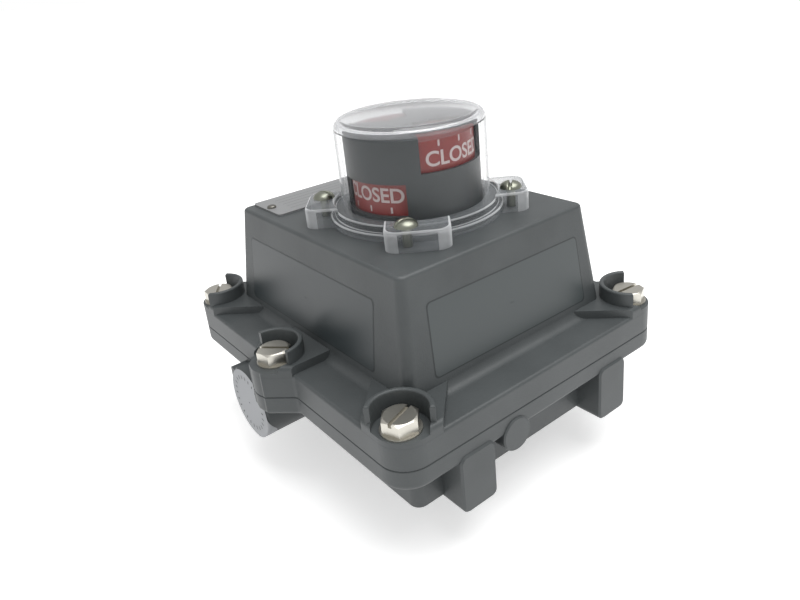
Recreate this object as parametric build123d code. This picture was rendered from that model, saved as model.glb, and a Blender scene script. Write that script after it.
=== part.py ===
from build123d import *
import math
import os

# Valve limit switch box, millimetres, +Z up.
# Origin: the shaft axis where it crosses the mounting plane of the four feet.
# The front (-Y) carries two feet and a cast boss, the conduit entries are on -X and +X.

# ---- driving dimensions: housing ----
housing_y = 11.0            # centre of the housing, behind the shaft axis
flange_x = 151.4
flange_y = 174.6
flange_corner = 12.0
flange_over_x = 13.0        # the flange overhangs the body of the base
flange_over_y = 11.1
body_corner = 4.5
body_edge = 0.8
foot_drop = 2.2             # the feet stand this far below the body
flange_under = 22.7         # heights over the mounting plane
parting = 31.5
ledge = 42.4
cover_top = 92.3
top_inset_x = 24.5          # flat top of the cover, inside the flange's outline
top_inset_y = 23.7
top_corner = 3.5
foot_corner = 5.0           # corner radius at the foot of the raised cover
cover_draft = 7.0           # degrees
ledge_fillet = 4.2
top_fillet = 1.6
flange_edge = 1.4
base_edge = 2.4
joint_edge = 0.4            # bevel on both flanges where they meet
base_wall = 6.0
floor_thickness = 7.0
cover_wall = 6.0
cover_roof = 7.0

# ---- driving dimensions: cover bolts, bosses and cups ----
bolt_inset_x = 9.2          # corner bolts, inside the flange's outline
bolt_inset_y = 10.3
mid_bolt_out = 9.0
bolt_radius = 4.0
bolt_gap = 0.1
bolt_reach = 8.0            # thread length in the base flange
hex_across = 13.0
hex_height = 5.3
crown_height = 0.7
slot_width = 1.5
slot_depth = 1.6
washer_radius = 7.9
washer_height = 0.7
pad_height = 1.2            # seat of a bolt over the ledge
pad_edge = 1.0
boss_height = 3.8
boss_edge = 2.0
boss_half = 15.0
cup_inner = 10.8
cup_wall = 2.1
cup_height = 10.3
cup_edge = 0.8
lug_radius = 11.0           # nose of the middle bolt lugs
lug_hollow = 3.0            # radius where a nose meets the flange side

# ---- driving dimensions: feet, cast boss, conduit entries ----
foot_spacing_x = 81.4
foot_width = 17.8
foot_height = 26.0
foot_round = 3.2
foot_proud = 0.9            # beyond the flange
foot_thread_radius = 3.4
foot_thread_depth = 16.0
foot_hole_inset = 8.2       # from the end of the foot
blank_boss_x = -19.6
blank_boss_z = 21.4
blank_boss_radius = 7.4
conduit_y = 29.0
conduit_z = 17.2
conduit_radius = 12.5
conduit_boss_radius = 17.0
conduit_proud = 8.3         # end face beyond the flange

plug_length = 16.0

# ---- driving dimensions: cover seal, nameplate, posts inside the base ----
groove_width = 3.0
groove_depth = 1.9
groove_inset = 3.2          # from the cavity to the groove
plate_x = 91.0
plate_y = 27.0
plate_inset = 1.2           # from the back of the flat top
name_thickness = 0.8
rivet_radius = 1.3
rivet_pitch = 84.6
inner_thread = 1.6
post_radius = 4.5
post_height = 4.0
bracket_feet = [(-20.0, 44.0), (4.0, 44.0)]
terminal_feet = [(-36.0, 62.0), (36.0, 62.0)]
earth_place = (-44.0, -6.0)

# ---- driving dimensions: shaft and bearings ----
shaft_radius = 6.0
shaft_below = 20.0
shaft_end_radius = 5.0
shaft_shoulder = 0.5        # the thinner end starts this far above the mounting plane
tang_radius = 4.6
flat_across = 7.0
flat_length = 12.0
running_gap = 0.03
bush_wall = 2.0
hub_radius = 13.0
hub_top = 25.0
pilot_radius = 19.0
ring_recess = 3.0
ring_recess_radius = 13.0
ring_thickness = 1.2
ring_radius = 8.6
shaft_top = 74.5
stub_radius = 4.5
stub_slot = 3.0
stub_slot_depth = 5.0

collar_radius = 8.8
collar_height = 2.4
shaft_seal_levels = (8.0, 16.0)
seal_width = 2.4
seal_bite = 1.6
hub_low = 33.0              # cam sleeve, from and to
hub_high = 73.0
cam_hub_radius = 9.5

# ---- driving dimensions: cams and switches ----
cam_low = 15.0
cam_high = 17.0
cam_thickness = 6.0
cam_level_closed = 50.2
cam_level_open = 62.5
contact_gap = 0.15
lever_arm = 20.0
tip_radius = 2.4
lever_thickness = 0.8
lever_width = 4.6
pivot_pin = 0.5
plunger_arm = 7.0
plunger_radius = 1.4
plunger_proud = 0.4         # at the pressed position
switch_length = 27.8
switch_depth = 15.9
switch_height = 10.3
switch_overhang = 3.8       # body beyond the lever pivot
switch_hole_radius = 1.55
switch_hole_pitch = 22.2
spacer_height = 2.0
shelf_z = 46.0
plate_thickness = 2.0


# ---- driving dimensions: terminal strip and wires ----
pole_count = 8
pole_pitch = 8.0
strip_depth = 20.0
strip_height = 15.0
wire_radius = 0.8

# ---- driving dimensions: indicator and dome ----
dome_radius = 33.1
dome_wall = 2.2
dome_height = 45.0
dome_round = 4.0
ring_flange = 5.7           # base ring, step, lugs, screws and seal beyond the dome's wall
ring_height = 3.2
step_flange = 3.5
step_height = 6.4
dome_lug_out = 16.1
dome_lug_width = 30.0
dome_lug_height = 8.6
dome_lug_turn = 4.0         # lug centre from its screw, degrees
dome_screw_out = 9.1
dome_screw_turn = 0.8
dome_screw_radius = 2.0
dome_screw_head = 3.9
dome_seal_in = 1.1
dome_seal_out = 3.3
dome_seal_depth = 1.4
mask_clear = 1.3            # between the dome and the mask
mask_wall = 1.4
window_angle = 77.0
rotor_gap = 0.5
rotor_clear = 0.8           # between the mask and the bands
band_wall = 0.8
band_spread = 89.6          # degrees that each coloured band covers
mask_height = 39.7
mask_split_height = 23.2    # between the lower and the upper windows
mask_rim = 3.8
mask_sill = 7.7             # lower edge of the lower windows
window_corner = 1.6
mask_hub = 8.5              # radius of the closed middle of the mask's top
rotor_lift = 4.0

# ---- worked out from the driving dimensions ----
body_x = flange_x - 2 * flange_over_x
body_y = flange_y - 2 * flange_over_y
top_x = flange_x - 2 * top_inset_x
top_y = flange_y - 2 * top_inset_y
bolt_x = flange_x - 2 * bolt_inset_x
bolt_y = flange_y - 2 * bolt_inset_y
conduit_reach = flange_x / 2 + conduit_proud
plate_y0 = (top_y - plate_y) / 2 - plate_inset
ring_outer = dome_radius + ring_flange
step_outer = dome_radius + step_flange
dome_lug_reach = dome_radius + dome_lug_out
dome_screw_circle = dome_radius + dome_screw_out
dome_seal_inner = dome_radius + dome_seal_in
dome_seal_outer = dome_radius + dome_seal_out
mask_radius = dome_radius - dome_wall - mask_clear
rotor_radius = mask_radius - mask_wall - rotor_clear
body_low = foot_drop
floor_z = body_low + floor_thickness
cup_rim = ledge + cup_height
boss_top = ledge + boss_height
pad_top = ledge + pad_height
drop = cover_top - ledge
foot_x = top_x + 2 * drop * math.tan(math.radians(cover_draft))
foot_y = top_y + 2 * drop * math.tan(math.radians(cover_draft))
swing = math.degrees(math.asin((cam_high - cam_low) / lever_arm))
blade_y = cam_high + contact_gap + tip_radius
pivot = (-lever_arm, blade_y + lever_thickness / 2)
switch_face = blade_y + lever_thickness + plunger_proud
centre = Location((0, housing_y, 0))
mask_top = cover_top + mask_height
mask_split = cover_top + mask_split_height
rotor_low = cover_top + rotor_lift
rotor_top = mask_top - mask_wall - rotor_gap
collar_low = hub_top + 1.0
ring_level = ring_recess - ring_thickness - 0.4
strip_low = floor_z + post_height

# each cover bolt: place over the housing centre and the way its cup opens, in degrees
BOLTS = [
    (bolt_x / 2, bolt_y / 2, 45),
    (-bolt_x / 2, bolt_y / 2, 135),
    (-bolt_x / 2, -bolt_y / 2, 225),
    (bolt_x / 2, -bolt_y / 2, 315),
    (bolt_x / 2 + mid_bolt_out, 0, 0),
    (-bolt_x / 2 - mid_bolt_out, 0, 180),
]
SLOT_TURNS = [20, 57, 19, -6, 65, -48]
FEET = [(sx * foot_spacing_x / 2, sy) for sx in (-1, 1) for sy in (-1, 1)]


def slab(x, y, corner, low, high):
    """Rounded rectangle over the housing centre, from low to high."""
    sketch = centre * RectangleRounded(x, y, corner)
    return Pos(0, 0, low) * extrude(sketch, high - low)


def drum(radius, low, high, x=0, y=0):
    """Upright cylinder between two heights."""
    return Pos(x, y, (low + high) / 2) * Cylinder(radius, high - low)


def tube(outer, inner, low, high, x=0, y=0):
    return drum(outer, low, high, x, y) - drum(inner, low - 1, high + 1, x, y)


def cuboid(low, high):
    """Box between two opposite corners."""
    size = [b - a for a, b in zip(low, high)]
    middle = [(a + b) / 2 for a, b in zip(low, high)]
    return Pos(*middle) * Box(*size)


def flange_outline():
    """Plan of both flanges: rounded rectangle with a nose at each middle bolt."""
    plan = RectangleRounded(flange_x, flange_y, flange_corner)
    for side in (-1, 1):
        nose = Pos(side * (bolt_x / 2 + mid_bolt_out), 0) * Circle(lug_radius)
        square = Rot(0, 0, 45) * Rectangle(2 * lug_radius, 2 * lug_radius)
        wedge = Pos(side * (bolt_x / 2 + mid_bolt_out), 0) * square
        inner = Pos(side * (flange_x / 2 - 10), 0) * Rectangle(40, 2 * lug_radius * math.sqrt(2) - 0.4)
        plan += nose + (wedge & inner)
    near_nose = [v for v in plan.vertices() if abs(v.Y) < 2 * lug_radius]
    hollows = [v for v in near_nose if abs(abs(v.X) - flange_x / 2) < 0.5]
    plan = fillet(hollows, lug_hollow)
    return centre * plan


def rimmed_plate(high, edge):
    """Plate with the flange outline, from inside the ledge to a level, rounded at its top rim."""
    plate = Pos(0, 0, ledge - 1) * extrude(flange_outline(), high - ledge + 1)
    return fillet(edges_at(plate, high), edge)


def place(bolt):
    """Location of a cover bolt, with local +X the way its cup opens."""
    x, y, turn = bolt
    return Location((x, y + housing_y, 0), (0, 0, turn))


def edges_at(solid, height, tolerance=0.01):
    """Edges that lie wholly in one level."""
    found = []
    for edge in solid.edges():
        box = edge.bounding_box()
        if abs(box.min.Z - height) < tolerance and abs(box.max.Z - height) < tolerance:
            found.append(edge)
    return found


# ---------------------------------------------------------------- base
def base_housing():
    body = slab(body_x, body_y, body_corner, body_low, flange_under + 1)
    body = chamfer(edges_at(body, body_low), body_edge)
    plate = Pos(0, 0, flange_under) * extrude(flange_outline(), parting - flange_under)
    plate = fillet(edges_at(plate, flange_under), base_edge)
    plate = chamfer(edges_at(plate, parting), joint_edge)
    base = body + plate

    for x, side in FEET:
        base += foot(x, side)
    reach = flange_y / 2 + foot_proud
    knob = Rot(90, 0, 0) * Cylinder(blank_boss_radius, reach - body_y / 2 + 4)
    knob = chamfer(knob.edges().sort_by(Axis.Y)[0], 0.6)
    base += Pos(blank_boss_x, housing_y - (reach + body_y / 2 - 4) / 2, blank_boss_z) * knob
    for side in (-1, 1):
        base += conduit_boss(side)

    base -= slab(body_x - 2 * base_wall, body_y - 2 * base_wall, body_corner - 2, floor_z, parting + 1)
    base += drum(hub_radius, floor_z - 1, hub_top)
    base += drum(pilot_radius, 0, body_low + 1)
    for post in bracket_posts() + terminal_posts() + [earth_post()]:
        base += post

    base -= seal_groove()
    base -= drum(shaft_radius + bush_wall, -1, hub_top + 1)
    base -= drum(ring_recess_radius, -1, ring_recess)
    for bolt in BOLTS:
        base -= place(bolt) * Pos(0, 0, parting) * Cylinder(bolt_radius, 2 * bolt_reach + 0.6)
    for side in (-1, 1):
        length = conduit_reach - body_x / 2 + base_wall + 1
        bore = Rot(0, 90, 0) * Cylinder(conduit_radius, length)
        base -= Pos(side * (conduit_reach + 1 - length / 2), conduit_y, conduit_z) * bore
    for x, side in FEET:
        y = housing_y + side * (flange_y / 2 + foot_proud - foot_hole_inset)
        base -= drum(foot_thread_radius, -1, foot_thread_depth, x, y)
    for x, y in inner_screw_places():
        base -= drum(inner_thread, floor_z - 3, parting, x, y)
    return base


def foot(x, side):
    """Cast foot: an upright rounded block whose end stands just beyond the flange."""
    face = RectangleRounded(foot_width, foot_height, foot_round)
    length = flange_y / 2 + foot_proud - body_y / 2 + 5
    block = extrude(Plane.XZ * face, length)
    block = chamfer(block.faces().sort_by(Axis.Y)[0].edges(), 0.8)
    block = Pos(0, -(body_y / 2 - 5), foot_height / 2) * block
    if side > 0:
        block = Rot(0, 0, 180) * block
    return Pos(x, housing_y, 0) * block


def conduit_boss(side):
    """Round boss for a cable entry, cut flush with the joint face."""
    length = conduit_reach - body_x / 2 + 3
    boss = Rot(0, 90, 0) * Cylinder(conduit_boss_radius, length)
    end = boss.edges().sort_by(Axis.X)[-1] if side > 0 else boss.edges().sort_by(Axis.X)[0]
    boss = chamfer(end, 0.8)
    boss = Pos(side * (conduit_reach - length / 2), conduit_y, conduit_z) * boss
    low_x, high_x = sorted((side * (conduit_reach - length), side * (conduit_reach - 0.8)))
    shoulders = cuboid((low_x, conduit_y - conduit_boss_radius, conduit_z),
                       (high_x, conduit_y + conduit_boss_radius, parting - 3))
    return (boss + shoulders) & cuboid((-100, conduit_y - 30, 0.4), (100, conduit_y + 30, parting))


def inner_screw_places():
    return bracket_feet + terminal_feet + [earth_place]


def bracket_posts():
    return [drum(post_radius, floor_z - 1, floor_z + post_height, x, y) for x, y in bracket_feet]


def terminal_posts():
    return [drum(post_radius, floor_z - 1, floor_z + post_height, x, y) for x, y in terminal_feet]


def earth_post():
    return drum(post_radius, floor_z - 1, floor_z + post_height, *earth_place)


def ring_between(grow_out, grow_in, low, high):
    """Closed band that follows the cavity mouth."""
    x = body_x - 2 * base_wall
    y = body_y - 2 * base_wall
    corner = body_corner - 2
    outer = slab(x + 2 * grow_out, y + 2 * grow_out, corner + grow_out, low, high)
    inner = slab(x + 2 * grow_in, y + 2 * grow_in, corner + grow_in, low - 1, high + 1)
    return outer - inner


def seal_groove():
    return ring_between(groove_inset + groove_width, groove_inset, parting - groove_depth, parting + 1)


def cover_seal():
    outer = groove_inset + groove_width - 0.1
    return ring_between(outer, groove_inset + 0.1, parting - groove_depth, parting)


# ---------------------------------------------------------------- cover
def raised(low, high, shrink, corner_low, corner_high):
    """Tapered body between two heights, shrunk all round."""
    slope = math.tan(math.radians(cover_draft))
    profiles = []
    for z, corner in ((low, corner_low), (high, corner_high)):
        x = top_x + 2 * (cover_top - z) * slope - 2 * shrink
        y = top_y + 2 * (cover_top - z) * slope - 2 * shrink
        profiles.append(Pos(0, housing_y, z) * RectangleRounded(x, y, corner))
    return loft(profiles)


def cover():
    plate = Pos(0, 0, parting) * extrude(flange_outline(), ledge - parting)
    plate = fillet(edges_at(plate, ledge), flange_edge)
    plate = chamfer(edges_at(plate, parting), joint_edge)
    hood = raised(ledge - 1, cover_top, 0, foot_corner, top_corner)
    hood = fillet(edges_at(hood, cover_top), top_fillet)
    body = plate + hood
    foot_edges = [e for e in edges_at(body, ledge) if inside_foot(e)]
    body = fillet(foot_edges, ledge_fillet)

    for bolt in BOLTS:
        body += bolt_boss(bolt)
    body -= raised(parting - 1, cover_top - cover_roof, cover_wall, 7, 4)
    for bolt in BOLTS:
        body -= bolt_pocket(bolt)
        body -= place(bolt) * Pos(0, 0, ledge) * Cylinder(bolt_radius + bolt_gap, 40)
    body += drum(stub_radius + bush_wall + 5, cover_top - cover_roof - 6, cover_top - 1)
    body -= drum(stub_radius + bush_wall, cover_top - 30, cover_top + 1)
    body -= tube(dome_seal_outer, dome_seal_inner, cover_top - dome_seal_depth, cover_top + 1)
    for angle in dome_screw_angles():
        x, y = polar(dome_screw_circle, angle)
        body -= drum(dome_screw_radius, cover_top - 5, cover_top + 1, x, y)
    for x, y in rivet_places():
        body -= drum(rivet_radius, cover_top - 4, cover_top + 1, x, y)
    return body


def inside_foot(edge):
    """True for an edge on the line where the hood meets the ledge."""
    box = edge.bounding_box()
    half_x = foot_x / 2 + 1.5
    half_y = foot_y / 2 + 1.5
    inside_x = max(abs(box.min.X), abs(box.max.X)) < half_x
    inside_y = max(abs(box.min.Y - housing_y), abs(box.max.Y - housing_y)) < half_y
    return inside_x and inside_y


def bolt_boss(bolt):
    """Raised bar with a half-round collar round the bolt head and a lower pad under it."""
    inner = 26 if bolt[1] else 20
    bar = cuboid((14 - 2 * inner, -boss_half, ledge - 1), (14, boss_half, boss_top))
    collar = tube(cup_inner + cup_wall, cup_inner, ledge - 1, cup_rim)
    collar &= cuboid((-30, -30, 0), (0, 30, 90))
    collar = fillet(edges_at(collar, cup_rim), cup_edge)
    pad = place(bolt) * bar & rimmed_plate(pad_top, pad_edge)
    cheeks = place(bolt) * bar & rimmed_plate(boss_top, boss_edge)
    return cheeks - bolt_pocket(bolt) + place(bolt) * collar + pad


def bolt_pocket(bolt):
    """Room for the bolt head: round behind it and open outwards."""
    well = drum(cup_inner, pad_top, 90)
    way = cuboid((0, -cup_inner, pad_top), (30, cup_inner, 90))
    return place(bolt) * (well + way)


# ---------------------------------------------------------------- fasteners
def hex_bolt():
    """Slotted hexagon head bolt standing on its washer, shank downwards."""
    seat = pad_top + washer_height
    head = extrude(RegularPolygon(hex_across / 2, 6, major_radius=False), hex_height)
    corner = hex_across / 2 / math.cos(math.pi / 6)
    crown = drum(corner, -1, hex_height)
    crown = chamfer(crown.edges().sort_by(Axis.Z)[-1], crown_height, corner - hex_across / 2 + 0.4)
    head = Rot(0, 0, 30) * (head & crown)
    head -= Pos(0, 0, hex_height) * Box(30, slot_width, 2 * slot_depth)
    return Pos(0, 0, seat) * head + drum(bolt_radius - 0.05, parting - bolt_reach, seat + 0.5)


def cover_bolts():
    bolts = []
    for bolt, turn in zip(BOLTS, SLOT_TURNS):
        bolts.append(Location((bolt[0], bolt[1] + housing_y, 0), (0, 0, turn)) * hex_bolt())
    return Compound(bolts)


def cover_bolt_washers():
    ring = tube(washer_radius, bolt_radius + bolt_gap, pad_top, pad_top + washer_height)
    return Compound([place(bolt) * ring for bolt in BOLTS])


def pan_screw(head_radius, head_height, radius, seat, length):
    """Slotted pan head screw with its head over the seat."""
    head = drum(head_radius, seat, seat + head_height)
    head = fillet(head.edges().sort_by(Axis.Z)[-1], head_height * 0.6)
    head -= Pos(0, 0, seat + head_height) * Box(3 * head_radius, 1.0, head_height)
    return head + drum(radius, seat - length, seat + 0.2)


def polar(radius, degrees):
    return radius * math.cos(math.radians(degrees)), radius * math.sin(math.radians(degrees))


# ---------------------------------------------------------------- dome and indicator


def dome_screw_angles():
    return [45 + 90 * k + dome_screw_turn for k in range(4)]


def dome():
    low = cover_top
    shell = drum(dome_radius, low, low + dome_height)
    shell = fillet(shell.edges().sort_by(Axis.Z)[-1], dome_round)
    skirt = drum(ring_outer, low, low + ring_height) + drum(step_outer, low, low + step_height)
    shell += skirt
    for angle in dome_screw_angles():
        shell += Rot(0, 0, angle + dome_lug_turn) * dome_lug(low)
    hollow = drum(dome_radius - dome_wall, low - 1, low + dome_height - dome_wall)
    hollow = fillet(hollow.edges().sort_by(Axis.Z)[-1], dome_round - dome_wall)
    shell -= hollow
    for angle in dome_screw_angles():
        x, y = polar(dome_screw_circle, angle)
        shell -= drum(dome_screw_radius + 0.1, low - 1, low + dome_lug_height + 1, x, y)
    return shell


def dome_lug(low):
    """Block with rounded corners and a shallow panel in its outer face."""
    inner = dome_radius - dome_wall + 1
    high = low + dome_lug_height
    block = cuboid((inner, -dome_lug_width / 2, low), (dome_lug_reach, dome_lug_width / 2, high))
    uprights = [e for e in block.edges().filter_by(Axis.Z) if e.center().X > inner + 1]
    block = fillet(uprights, 5.5)
    block = fillet([e for e in edges_at(block, high) if e.center().X > inner + 1], 1.0)
    panel = cuboid((dome_lug_reach - 1.2, -3, low + 1.2), (dome_lug_reach + 1, 9, high - 1.6))
    return block - panel


def dome_seal():
    return tube(dome_seal_outer - 0.1, dome_seal_inner + 0.1, cover_top - dome_seal_depth, cover_top)


def dome_screws():
    screws = []
    for k, angle in enumerate(dome_screw_angles()):
        x, y = polar(dome_screw_circle, angle)
        screw = pan_screw(dome_screw_head, 2.4, dome_screw_radius - 0.05, cover_top + dome_lug_height,
                          dome_lug_height + 4.5)
        screws.append(Location((x, y, 0), (0, 0, 25 + 50 * k)) * screw)
    return Compound(screws)


def sector(outer, inner, low, high, middle, spread):
    """Part of a tube between two directions from the axis."""
    half = math.radians(spread / 2)
    reach = outer * 3
    wedge = Polygon((0, 0), (reach * math.cos(half), -reach * math.sin(half)),
                    (reach * math.cos(half), reach * math.sin(half)), align=None)
    wedge = Pos(0, 0, low - 1) * extrude(Rot(0, 0, middle) * wedge, high - low + 2)
    ring = drum(outer, low, high) if inner <= 0 else tube(outer, inner, low, high)
    return ring & wedge


def indicator_mask():
    """Fixed cap: upper windows front and back open into its top, lower ones to the sides."""
    cap = drum(mask_radius, cover_top, mask_top)
    cap = fillet(cap.edges().sort_by(Axis.Z)[-1], 1.0)
    cap -= drum(mask_radius - mask_wall, cover_top - 1, mask_top - mask_wall)
    for middle in (-90, 90):
        cap -= window(mask_hub, mask_split + mask_rim / 2, mask_top + 3, middle)
    for middle in (0, 180):
        cap -= window(mask_radius - 5, cover_top + mask_sill, mask_split - mask_rim / 2, middle)
    return cap


def window(inner, low, high, middle):
    """Opening in the mask with rounded corners."""
    hole = sector(mask_radius + 2, inner, low, high, middle, window_angle)
    corners = [e for e in hole.edges().filter_by(GeomType.LINE) if e.bounding_box().size.Z < 0.01]
    return fillet(corners, window_corner)


def indicator_rotor():
    """Cup-shaped core on the stub shaft that carries the coloured bands."""
    core = drum(rotor_radius - band_wall, rotor_low, rotor_top - band_wall)
    core -= drum(rotor_radius - band_wall - 1.6, rotor_low - 1, rotor_top - band_wall - 1.8)
    core += drum(stub_radius + 3, rotor_low, rotor_top - band_wall - 1)
    core -= drum(stub_radius, rotor_low - 1, rotor_low + 16)
    return core


def bands(upper, lower):
    """Coloured shells: upper ones fold over the top of the core, lower ones are plain."""
    shells = []
    for middle in upper:
        shell = sector(rotor_radius, 0, mask_split + 0.2, rotor_top, middle, band_spread)
        shell -= drum(rotor_radius - band_wall, mask_split - 1, rotor_top - band_wall)
        shells.append(shell - drum(3.0, rotor_top - 5, rotor_top + 1))
    for middle in lower:
        inner = rotor_radius - band_wall
        shells.append(sector(rotor_radius, inner, rotor_low, mask_split - 0.2, middle, band_spread))
    return Compound(shells)


def closed_bands():
    return bands((-90, 90), (0, 180))


def open_bands():
    return bands((0, 180), (-90, 90))


# ---------------------------------------------------------------- shaft line


def shaft():
    tang_top = -shaft_below + flat_length
    tang = drum(tang_radius, -shaft_below, tang_top + 1)
    tang = chamfer(tang.edges().sort_by(Axis.Z)[0], 0.8)
    tang &= cuboid((-10, -flat_across / 2, -shaft_below), (10, flat_across / 2, tang_top + 1))
    rod = tang + drum(shaft_end_radius, tang_top, 1) + drum(shaft_radius, shaft_shoulder, shaft_top)
    rod += drum(collar_radius, collar_low, collar_low + collar_height)
    for low in shaft_seal_levels:
        rod -= tube(shaft_radius + 1, shaft_radius - seal_bite, low, low + seal_width)
    rod -= tube(shaft_radius + 2, shaft_radius - 0.8, ring_level, ring_level + ring_thickness + 0.1)
    rod -= cuboid((-stub_slot / 2, -10, shaft_top - stub_slot_depth), (stub_slot / 2, 10, shaft_top + 1))
    rod -= Pos(0, 0, hub_low + 4) * Rot(0, 90, 0) * Cylinder(1.5, 30)
    return rod


def shaft_bushing():
    return tube(shaft_radius + bush_wall, shaft_radius + running_gap, ring_recess, hub_top)


def shaft_seals():
    rings = []
    for low in shaft_seal_levels:
        outer = shaft_radius + running_gap / 2
        rings.append(tube(outer, shaft_radius - seal_bite, low + 0.1, low + seal_width - 0.1))
    return Compound(rings)


def shaft_retaining_ring():
    ring = tube(ring_radius, shaft_radius - 0.8, ring_level + 0.05, ring_level + ring_thickness)
    return ring - cuboid((0, -2, -5), (20, 2, 10))


def thrust_washer():
    return tube(collar_radius, shaft_radius + 0.1, hub_top, collar_low - 0.05)


def indicator_shaft():
    """Stub through the cover: tongue below into the main shaft, indicator on its top."""
    tongue_low = shaft_top - stub_slot_depth + 0.3
    stub = drum(stub_radius, shaft_top + 0.4, rotor_low + 16)
    tongue = cuboid((-stub_slot / 2 + 0.1, -stub_radius + 0.4, tongue_low),
                    (stub_slot / 2 - 0.1, stub_radius - 0.4, shaft_top + 1))
    stub += tongue
    stub += drum(stub_radius + 2.6, cover_top - cover_roof - 6 - 2.5, cover_top - cover_roof - 6 - 0.3)
    stub -= tube(stub_radius + 2, stub_radius - 0.7, cover_top + 0.4, cover_top + 1.6)
    return stub


def cover_bushing():
    return tube(stub_radius + bush_wall, stub_radius + running_gap, cover_top - cover_roof - 6, cover_top)


def stub_retaining_ring():
    ring = tube(stub_radius + 2.2, stub_radius - 0.7, cover_top + 0.45, cover_top + 1.55)
    return ring - cuboid((0, -1.6, cover_top), (20, 1.6, cover_top + 3))


# ---------------------------------------------------------------- cams
def cam_outline(falling):
    """Steady rise of the radius over a quarter turn, closed by smooth flanks.

    Direction 90 touches the lever at rest and direction 0 after a quarter turn.
    """
    points = []
    count = 40
    for k in range(count):
        angle = 360 * k / count
        if angle <= 99:
            share = angle / 90
        elif angle <= 252:
            share = 1.1
        elif angle <= 342:
            share = 1.1 - 1.2 * (1 - math.cos(math.pi * (angle - 252) / 90)) / 2
        else:
            share = (angle - 360) / 90 if angle > 351 else -0.1
        share = max(-0.1, share)
        if falling:
            radius = cam_high - (cam_high - cam_low) * share
        else:
            radius = cam_low + (cam_high - cam_low) * share
        points.append(polar(radius, angle))
    return make_face(Spline(*points, periodic=True))


def cam(level, falling):
    body = Pos(0, 0, level) * extrude(cam_outline(falling), cam_thickness)
    body += drum(cam_hub_radius + 3, level - 1, level + cam_thickness + 1)
    body -= drum(cam_hub_radius, level - 2, level + cam_thickness + 2)
    return body


def cam_closed():
    return cam(cam_level_closed, False)


def cam_open():
    return cam(cam_level_open, True)


def cam_hub():
    """Sleeve pinned to the shaft, with a shoulder below the cams."""
    sleeve = tube(cam_hub_radius, shaft_radius, hub_low, hub_high)
    sleeve += tube(cam_hub_radius + 3.5, shaft_radius, hub_low + 7, hub_low + 9)
    sleeve -= Pos(0, 0, hub_low + 4) * Rot(0, 90, 0) * Cylinder(1.5, 30)
    return sleeve


def hub_pin():
    return Pos(0, 0, hub_low + 4) * Rot(0, 90, 0) * Cylinder(1.5, 2 * cam_hub_radius - 0.6)


def cam_spring():
    """Spring that holds the lower cam on its splines."""
    low = hub_low + 9
    high = cam_level_closed - 1
    path = Helix(pitch=(high - low - 1.0) / 1.5, height=high - low - 1.0, radius=cam_hub_radius + 1.4)
    start = path @ 0
    wire = Circle(0.45)
    coil = sweep(Plane(origin=start, z_dir=path % 0) * wire, path=path)
    return Pos(0, 0, low + 0.5) * coil


# ---------------------------------------------------------------- switches
def switch_base(kind):
    lowest = shelf_z + plate_thickness
    return lowest if kind == "closed" else lowest + switch_height + spacer_height


def switch_holes():
    middle = -lever_arm - switch_overhang + switch_length / 2
    half = switch_hole_pitch / 2
    return [(middle - half, switch_face + 12.8), (middle + half, switch_face + 12.8)]


def switch_body(kind):
    low = switch_base(kind)
    x0 = -lever_arm - switch_overhang
    far = (x0 + switch_length, switch_face + switch_depth, low + switch_height)
    case = cuboid((x0, switch_face, low), far)
    case = fillet(case.edges().filter_by(Axis.Z), 0.8)
    for x, y in switch_holes():
        case -= drum(switch_hole_radius, low - 1, low + switch_height + 1, x, y)
    middle = low + switch_height / 2
    bore = Rot(90, 0, 0) * Cylinder(plunger_radius + 0.08, 12)
    case -= Pos(-lever_arm + plunger_arm, switch_face, middle) * bore
    ear_far = (pivot[0] + 1.6, switch_face + 0.5, low + 2.0)
    ear = cuboid((pivot[0] - 1.6, pivot[1] - 1.4, low + 0.8), ear_far)
    far = Pos(0, 0, switch_height - 2.8) * ear
    pin = drum(pivot_pin, low + 0.8, low + switch_height - 0.8, *pivot)
    relief = cuboid((pivot[0] - 2, switch_face - 1, middle - lever_width / 2 - 0.4),
                    (pivot[0] + 2, switch_face + 1.4, middle + lever_width / 2 + 0.4))
    case = case - relief + ear + far + pin
    for k in range(3):
        x = x0 + 4 + k * (switch_length - 8) / 2
        tab = cuboid((x - 0.4, switch_face + switch_depth - 1, middle - 2.4),
                     (x + 0.4, switch_face + switch_depth + 6.3, middle + 2.4))
        case += tab
    return case


def lever(kind):
    """Sheet lever with rolled eyes at the pivot and a rounded tip against the cam."""
    middle = switch_base(kind) + switch_height / 2
    low, high = middle - lever_width / 2, middle + lever_width / 2
    blade = cuboid((pivot[0] + 0.9, blade_y, low), (1.2, blade_y + lever_thickness, high))
    eye = drum(1.2, low, high, *pivot)
    tip = drum(tip_radius, low, high, 0, blade_y)
    tip &= cuboid((-5, blade_y - 5, low - 1), (5, blade_y + lever_thickness, high + 1))
    body = blade + eye + tip
    body -= drum(pivot_pin + 0.05, low - 1, high + 1, *pivot)
    if kind == "open":
        body = Pos(*pivot, 0) * Rot(0, 0, -swing) * Pos(-pivot[0], -pivot[1], 0) * body
    return body


def plunger(kind):
    """Push button of a switch; the open one starts released."""
    middle = switch_base(kind) + switch_height / 2
    travel = plunger_arm * math.tan(math.radians(swing)) if kind == "open" else 0
    length = 4.5
    rod = Rot(90, 0, 0) * Cylinder(plunger_radius, length)
    rod = fillet(rod.edges().sort_by(Axis.Y)[0], plunger_radius - 0.2)
    front = blade_y + lever_thickness + 0.06 - travel
    return Pos(-lever_arm + plunger_arm, front + length / 2, middle) * rod


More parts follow.
